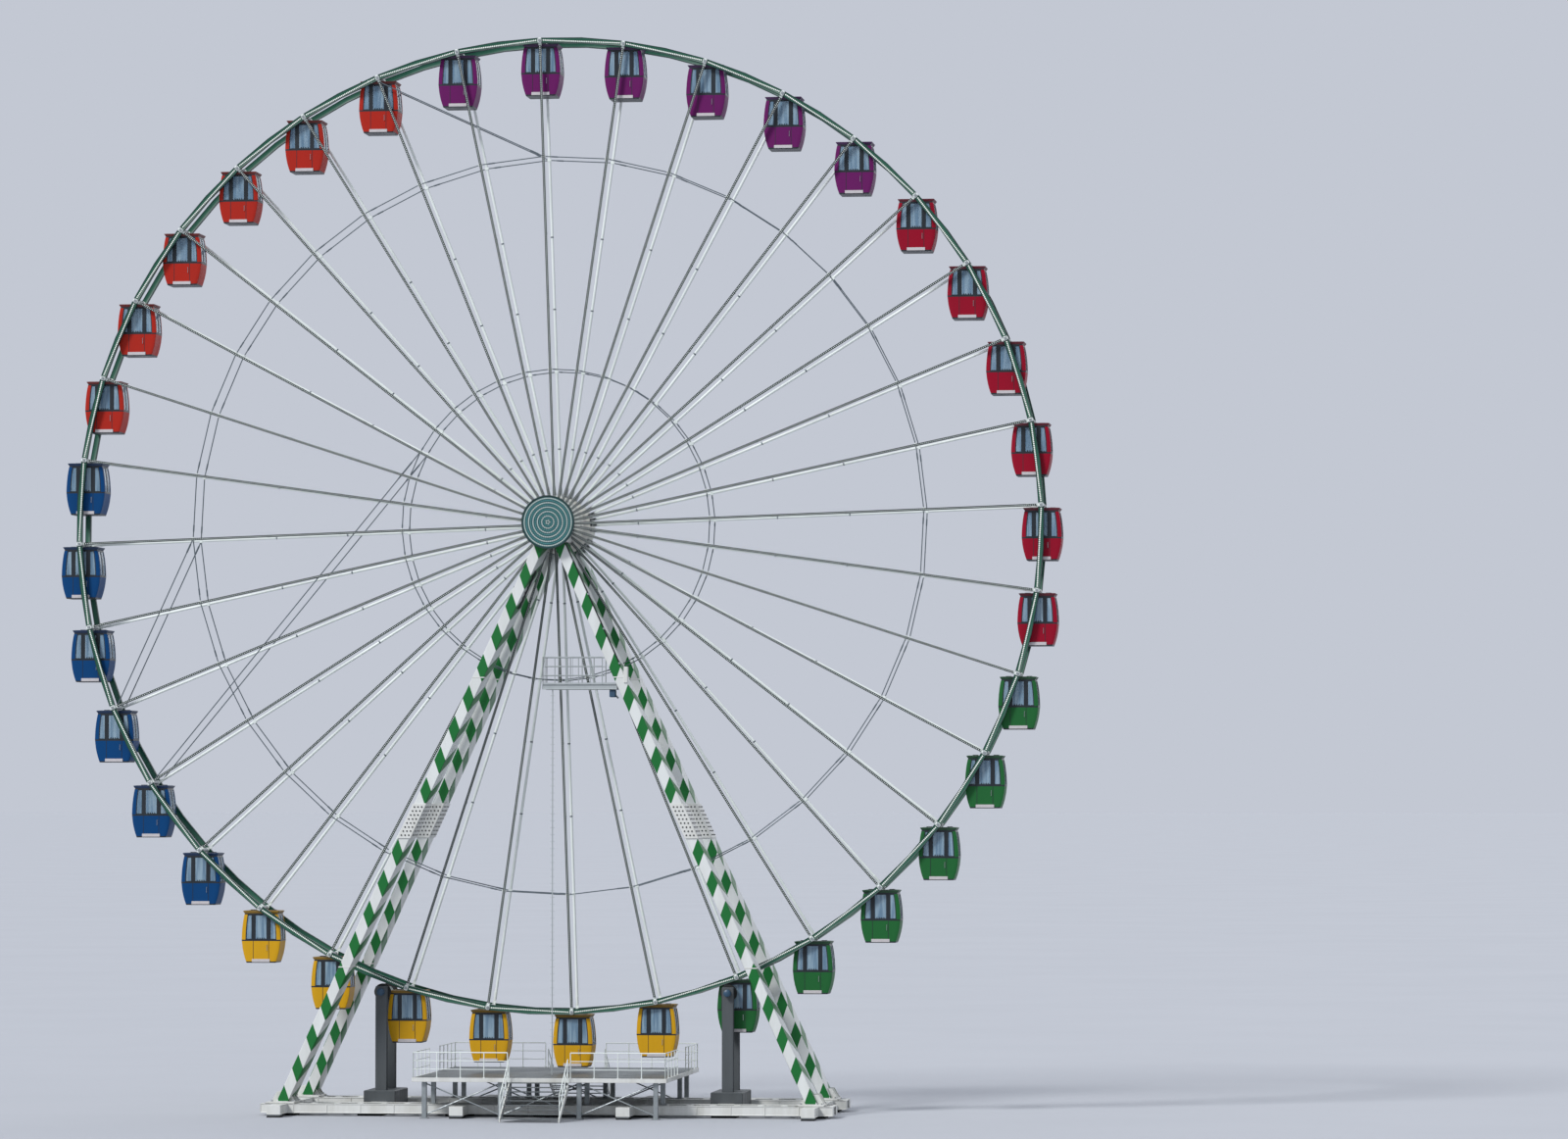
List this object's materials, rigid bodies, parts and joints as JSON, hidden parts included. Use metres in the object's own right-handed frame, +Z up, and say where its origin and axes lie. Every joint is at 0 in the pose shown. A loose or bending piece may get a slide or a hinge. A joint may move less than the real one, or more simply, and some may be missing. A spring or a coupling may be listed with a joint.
{
  "type": "ferris wheel, 1:2 scale model",
  "caption": "Half-size ferris wheel on an A-frame, with twin rims, thin tube spokes and round-sided cabins that stay level as it turns.",
  "frame": {"origin": "on the ground midway between the four feet, under the hub", "axes": "+Z up, +Y along the axle away from the side the picture shows, +X to the right of that side"},
  "size_m": [22.052, 7.7206, 23.4535],
  "materials": {
    "rim_green": "semi-gloss",
    "spoke_white": "semi-gloss",
    "leg_white": "semi-gloss",
    "hub_teal": "semi-gloss",
    "galvanised": "satin",
    "deck_grey": "satin",
    "drive_grey": "matte",
    "cabin_purple": "gloss",
    "cabin_red": "gloss",
    "cabin_green": "gloss",
    "cabin_yellow": "gloss",
    "cabin_blue": "gloss",
    "cabin_orange": "gloss"
  },
  "bodies": {
    "support": {"axle": "galvanised", "front_bearing_head": "leg_white", "back_bearing_head": "leg_white", "front_hub_disc": "hub_teal", "back_hub_disc": "hub_teal", "front_left_leg": "leg_white", "front_right_leg": "leg_white", "back_left_leg": "leg_white", "back_right_leg": "leg_white", "front_base_beam": "leg_white", "back_base_beam": "leg_white", "left_base_beam": "leg_white", "right_base_beam": "leg_white", "boarding_platform": "deck_grey", "entry_stair": "deck_grey", "exit_stair": "deck_grey", "service_platform": "galvanised", "left_drive": "drive_grey", "right_drive": "drive_grey"},
    "wheel": {"hub": "spoke_white", "front_rim": "rim_green", "back_rim": "rim_green", "front_spokes": "spoke_white", "back_spokes": "spoke_white"},
    "cabin_01": {"cabin_01": "cabin_purple"},
    "cabin_02": {"cabin_02": "cabin_purple"},
    "cabin_03": {"cabin_03": "cabin_purple"},
    "cabin_04": {"cabin_04": "cabin_purple"},
    "cabin_05": {"cabin_05": "cabin_purple"},
    "cabin_06": {"cabin_06": "cabin_red"},
    "cabin_07": {"cabin_07": "cabin_red"},
    "cabin_08": {"cabin_08": "cabin_red"},
    "cabin_09": {"cabin_09": "cabin_red"},
    "cabin_10": {"cabin_10": "cabin_red"},
    "cabin_11": {"cabin_11": "cabin_red"},
    "cabin_12": {"cabin_12": "cabin_green"},
    "cabin_13": {"cabin_13": "cabin_green"},
    "cabin_14": {"cabin_14": "cabin_green"},
    "cabin_15": {"cabin_15": "cabin_green"},
    "cabin_16": {"cabin_16": "cabin_green"},
    "cabin_17": {"cabin_17": "cabin_green"},
    "cabin_18": {"cabin_18": "cabin_yellow"},
    "cabin_19": {"cabin_19": "cabin_yellow"},
    "cabin_20": {"cabin_20": "cabin_yellow"},
    "cabin_21": {"cabin_21": "cabin_yellow"},
    "cabin_22": {"cabin_22": "cabin_yellow"},
    "cabin_23": {"cabin_23": "cabin_yellow"},
    "cabin_24": {"cabin_24": "cabin_blue"},
    "cabin_25": {"cabin_25": "cabin_blue"},
    "cabin_26": {"cabin_26": "cabin_blue"},
    "cabin_27": {"cabin_27": "cabin_blue"},
    "cabin_28": {"cabin_28": "cabin_blue"},
    "cabin_29": {"cabin_29": "cabin_blue"},
    "cabin_30": {"cabin_30": "cabin_orange"},
    "cabin_31": {"cabin_31": "cabin_orange"},
    "cabin_32": {"cabin_32": "cabin_orange"},
    "cabin_33": {"cabin_33": "cabin_orange"},
    "cabin_34": {"cabin_34": "cabin_orange"},
    "cabin_35": {"cabin_35": "cabin_orange"},
    "cabin_36": {"cabin_36": "cabin_purple"}
  },
  "joints": [
    {"name": "wheel_spin", "type": "hinge", "parent": "support", "child": "wheel", "pos_m": [0, 0, 12.8], "axis": [0, 1, 0], "continuous": true},
    {"name": "cabin_01_level", "type": "hinge", "parent": "wheel", "child": "cabin_01", "pos_m": [-0.3699, 0, 23.3935], "axis": [0, 1, 0], "continuous": true},
    {"name": "cabin_02_level", "type": "hinge", "parent": "wheel", "child": "cabin_02", "pos_m": [1.4752, 0, 23.2968], "axis": [0, 1, 0], "continuous": true},
    {"name": "cabin_03_level", "type": "hinge", "parent": "wheel", "child": "cabin_03", "pos_m": [3.2756, 0, 22.8812], "axis": [0, 1, 0], "continuous": true},
    {"name": "cabin_04_level", "type": "hinge", "parent": "wheel", "child": "cabin_04", "pos_m": [4.9764, 0, 22.1592], "axis": [0, 1, 0], "continuous": true},
    {"name": "cabin_05_level", "type": "hinge", "parent": "wheel", "child": "cabin_05", "pos_m": [6.526, 0, 21.1529], "axis": [0, 1, 0], "continuous": true},
    {"name": "cabin_06_level", "type": "hinge", "parent": "wheel", "child": "cabin_06", "pos_m": [7.8773, 0, 19.8928], "axis": [0, 1, 0], "continuous": true},
    {"name": "cabin_07_level", "type": "hinge", "parent": "wheel", "child": "cabin_07", "pos_m": [8.9893, 0, 18.4171], "axis": [0, 1, 0], "continuous": true},
    {"name": "cabin_08_level", "type": "hinge", "parent": "wheel", "child": "cabin_08", "pos_m": [9.8281, 0, 16.7708], "axis": [0, 1, 0], "continuous": true},
    {"name": "cabin_09_level", "type": "hinge", "parent": "wheel", "child": "cabin_09", "pos_m": [10.3684, 0, 15.0039], "axis": [0, 1, 0], "continuous": true},
    {"name": "cabin_10_level", "type": "hinge", "parent": "wheel", "child": "cabin_10", "pos_m": [10.5935, 0, 13.1699], "axis": [0, 1, 0], "continuous": true},
    {"name": "cabin_11_level", "type": "hinge", "parent": "wheel", "child": "cabin_11", "pos_m": [10.4968, 0, 11.3248], "axis": [0, 1, 0], "continuous": true},
    {"name": "cabin_12_level", "type": "hinge", "parent": "wheel", "child": "cabin_12", "pos_m": [10.0812, 0, 9.5244], "axis": [0, 1, 0], "continuous": true},
    {"name": "cabin_13_level", "type": "hinge", "parent": "wheel", "child": "cabin_13", "pos_m": [9.3592, 0, 7.8236], "axis": [0, 1, 0], "continuous": true},
    {"name": "cabin_14_level", "type": "hinge", "parent": "wheel", "child": "cabin_14", "pos_m": [8.3529, 0, 6.274], "axis": [0, 1, 0], "continuous": true},
    {"name": "cabin_15_level", "type": "hinge", "parent": "wheel", "child": "cabin_15", "pos_m": [7.0928, 0, 4.9227], "axis": [0, 1, 0], "continuous": true},
    {"name": "cabin_16_level", "type": "hinge", "parent": "wheel", "child": "cabin_16", "pos_m": [5.6171, 0, 3.8107], "axis": [0, 1, 0], "continuous": true},
    {"name": "cabin_17_level", "type": "hinge", "parent": "wheel", "child": "cabin_17", "pos_m": [3.9708, 0, 2.9719], "axis": [0, 1, 0], "continuous": true},
    {"name": "cabin_18_level", "type": "hinge", "parent": "wheel", "child": "cabin_18", "pos_m": [2.2039, 0, 2.4316], "axis": [0, 1, 0], "continuous": true},
    {"name": "cabin_19_level", "type": "hinge", "parent": "wheel", "child": "cabin_19", "pos_m": [0.3699, 0, 2.2065], "axis": [0, 1, 0], "continuous": true},
    {"name": "cabin_20_level", "type": "hinge", "parent": "wheel", "child": "cabin_20", "pos_m": [-1.4752, 0, 2.3032], "axis": [0, 1, 0], "continuous": true},
    {"name": "cabin_21_level", "type": "hinge", "parent": "wheel", "child": "cabin_21", "pos_m": [-3.2756, 0, 2.7188], "axis": [0, 1, 0], "continuous": true},
    {"name": "cabin_22_level", "type": "hinge", "parent": "wheel", "child": "cabin_22", "pos_m": [-4.9764, 0, 3.4408], "axis": [0, 1, 0], "continuous": true},
    {"name": "cabin_23_level", "type": "hinge", "parent": "wheel", "child": "cabin_23", "pos_m": [-6.526, 0, 4.4471], "axis": [0, 1, 0], "continuous": true},
    {"name": "cabin_24_level", "type": "hinge", "parent": "wheel", "child": "cabin_24", "pos_m": [-7.8773, 0, 5.7072], "axis": [0, 1, 0], "continuous": true},
    {"name": "cabin_25_level", "type": "hinge", "parent": "wheel", "child": "cabin_25", "pos_m": [-8.9893, 0, 7.1829], "axis": [0, 1, 0], "continuous": true},
    {"name": "cabin_26_level", "type": "hinge", "parent": "wheel", "child": "cabin_26", "pos_m": [-9.8281, 0, 8.8292], "axis": [0, 1, 0], "continuous": true},
    {"name": "cabin_27_level", "type": "hinge", "parent": "wheel", "child": "cabin_27", "pos_m": [-10.3684, 0, 10.5961], "axis": [0, 1, 0], "continuous": true},
    {"name": "cabin_28_level", "type": "hinge", "parent": "wheel", "child": "cabin_28", "pos_m": [-10.5935, 0, 12.4301], "axis": [0, 1, 0], "continuous": true},
    {"name": "cabin_29_level", "type": "hinge", "parent": "wheel", "child": "cabin_29", "pos_m": [-10.4968, 0, 14.2752], "axis": [0, 1, 0], "continuous": true},
    {"name": "cabin_30_level", "type": "hinge", "parent": "wheel", "child": "cabin_30", "pos_m": [-10.0812, 0, 16.0756], "axis": [0, 1, 0], "continuous": true},
    {"name": "cabin_31_level", "type": "hinge", "parent": "wheel", "child": "cabin_31", "pos_m": [-9.3592, 0, 17.7764], "axis": [0, 1, 0], "continuous": true},
    {"name": "cabin_32_level", "type": "hinge", "parent": "wheel", "child": "cabin_32", "pos_m": [-8.3529, 0, 19.326], "axis": [0, 1, 0], "continuous": true},
    {"name": "cabin_33_level", "type": "hinge", "parent": "wheel", "child": "cabin_33", "pos_m": [-7.0928, 0, 20.6773], "axis": [0, 1, 0], "continuous": true},
    {"name": "cabin_34_level", "type": "hinge", "parent": "wheel", "child": "cabin_34", "pos_m": [-5.6171, 0, 21.7893], "axis": [0, 1, 0], "continuous": true},
    {"name": "cabin_35_level", "type": "hinge", "parent": "wheel", "child": "cabin_35", "pos_m": [-3.9708, 0, 22.6281], "axis": [0, 1, 0], "continuous": true},
    {"name": "cabin_36_level", "type": "hinge", "parent": "wheel", "child": "cabin_36", "pos_m": [-2.2039, 0, 23.1684], "axis": [0, 1, 0], "continuous": true}
  ],
  "couplings": [
    {"joint": "cabin_01_level", "follows": "wheel_spin", "ratio": -1},
    {"joint": "cabin_02_level", "follows": "wheel_spin", "ratio": -1},
    {"joint": "cabin_03_level", "follows": "wheel_spin", "ratio": -1},
    {"joint": "cabin_04_level", "follows": "wheel_spin", "ratio": -1},
    {"joint": "cabin_05_level", "follows": "wheel_spin", "ratio": -1},
    {"joint": "cabin_06_level", "follows": "wheel_spin", "ratio": -1},
    {"joint": "cabin_07_level", "follows": "wheel_spin", "ratio": -1},
    {"joint": "cabin_08_level", "follows": "wheel_spin", "ratio": -1},
    {"joint": "cabin_09_level", "follows": "wheel_spin", "ratio": -1},
    {"joint": "cabin_10_level", "follows": "wheel_spin", "ratio": -1},
    {"joint": "cabin_11_level", "follows": "wheel_spin", "ratio": -1},
    {"joint": "cabin_12_level", "follows": "wheel_spin", "ratio": -1},
    {"joint": "cabin_13_level", "follows": "wheel_spin", "ratio": -1},
    {"joint": "cabin_14_level", "follows": "wheel_spin", "ratio": -1},
    {"joint": "cabin_15_level", "follows": "wheel_spin", "ratio": -1},
    {"joint": "cabin_16_level", "follows": "wheel_spin", "ratio": -1},
    {"joint": "cabin_17_level", "follows": "wheel_spin", "ratio": -1},
    {"joint": "cabin_18_level", "follows": "wheel_spin", "ratio": -1},
    {"joint": "cabin_19_level", "follows": "wheel_spin", "ratio": -1},
    {"joint": "cabin_20_level", "follows": "wheel_spin", "ratio": -1},
    {"joint": "cabin_21_level", "follows": "wheel_spin", "ratio": -1},
    {"joint": "cabin_22_level", "follows": "wheel_spin", "ratio": -1},
    {"joint": "cabin_23_level", "follows": "wheel_spin", "ratio": -1},
    {"joint": "cabin_24_level", "follows": "wheel_spin", "ratio": -1},
    {"joint": "cabin_25_level", "follows": "wheel_spin", "ratio": -1},
    {"joint": "cabin_26_level", "follows": "wheel_spin", "ratio": -1},
    {"joint": "cabin_27_level", "follows": "wheel_spin", "ratio": -1},
    {"joint": "cabin_28_level", "follows": "wheel_spin", "ratio": -1},
    {"joint": "cabin_29_level", "follows": "wheel_spin", "ratio": -1},
    {"joint": "cabin_30_level", "follows": "wheel_spin", "ratio": -1},
    {"joint": "cabin_31_level", "follows": "wheel_spin", "ratio": -1},
    {"joint": "cabin_32_level", "follows": "wheel_spin", "ratio": -1},
    {"joint": "cabin_33_level", "follows": "wheel_spin", "ratio": -1},
    {"joint": "cabin_34_level", "follows": "wheel_spin", "ratio": -1},
    {"joint": "cabin_35_level", "follows": "wheel_spin", "ratio": -1},
    {"joint": "cabin_36_level", "follows": "wheel_spin", "ratio": -1}
  ]
}
